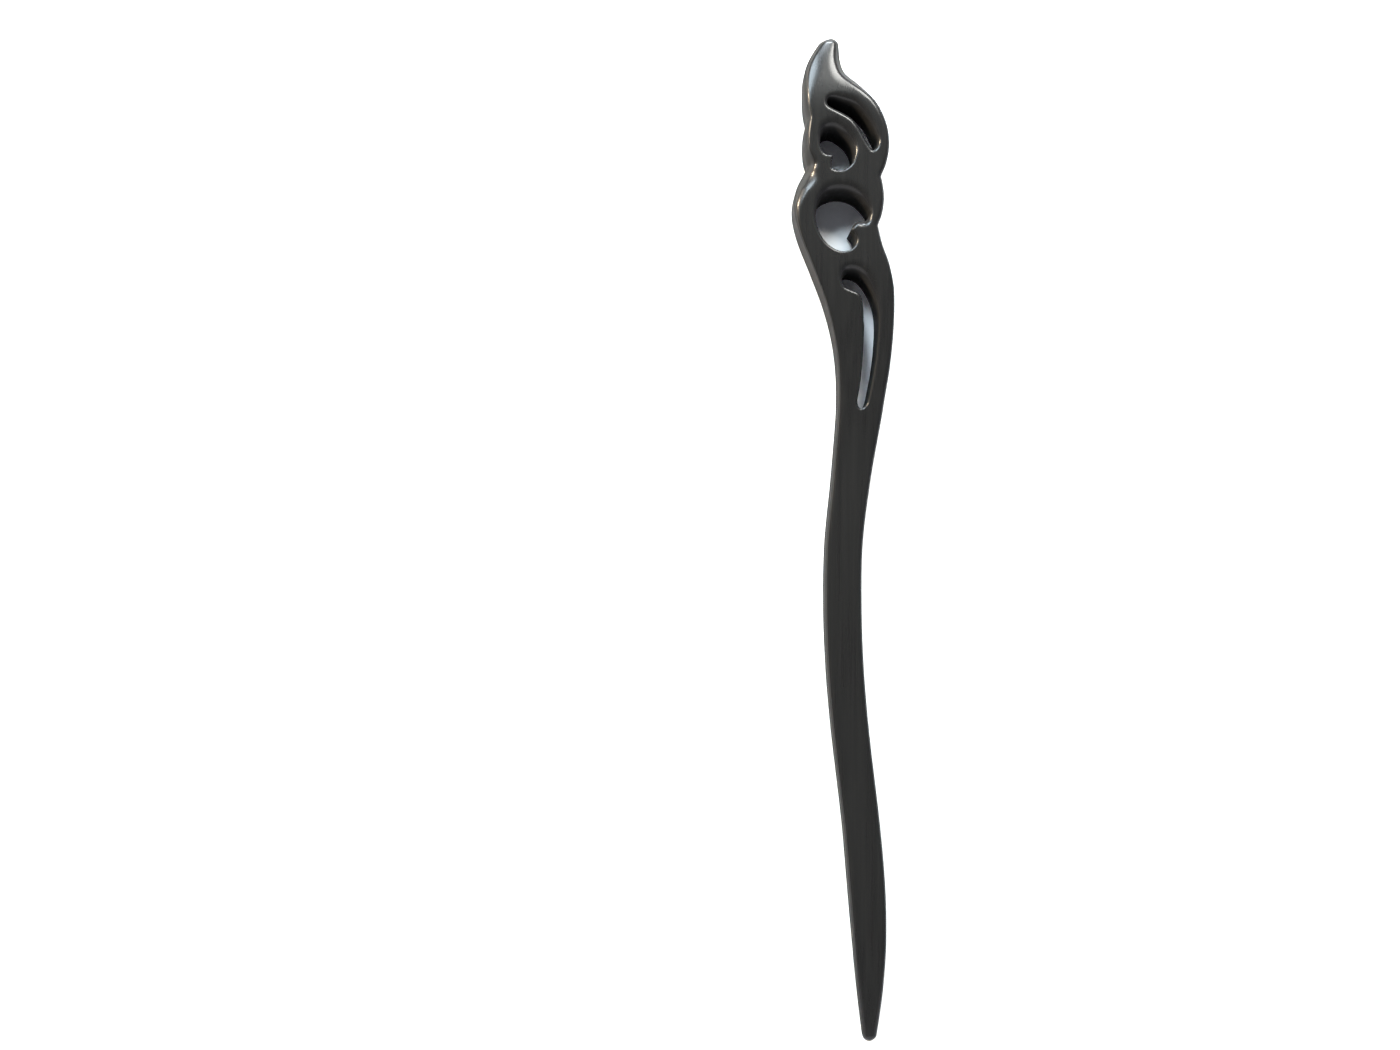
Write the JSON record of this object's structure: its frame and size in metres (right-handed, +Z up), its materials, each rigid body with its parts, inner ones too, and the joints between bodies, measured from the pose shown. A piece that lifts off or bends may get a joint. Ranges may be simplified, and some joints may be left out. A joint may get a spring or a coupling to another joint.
{
  "type": "carved wooden hair stick",
  "caption": "Slim tapered hair stick with a gently curving shaft and a flat flame-shaped head pierced by four carved openings, one with a small spur.",
  "frame": {"origin": "middle of the outline seen from above, on the surface that the stick's flat back rests on", "axes": "+Y along the stick from its point to the tip of the flame, +Z up out of the front face, +X to the right seen from the front"},
  "size_m": [0.0178, 0.18, 0.0085],
  "materials": {
    "wood": "near-black dense hardwood, sanded fine and polished to a satin sheen, with faint grain along the shaft"
  },
  "bodies": {
    "root": {"hair_stick": "wood"}
  },
  "joints": []
}
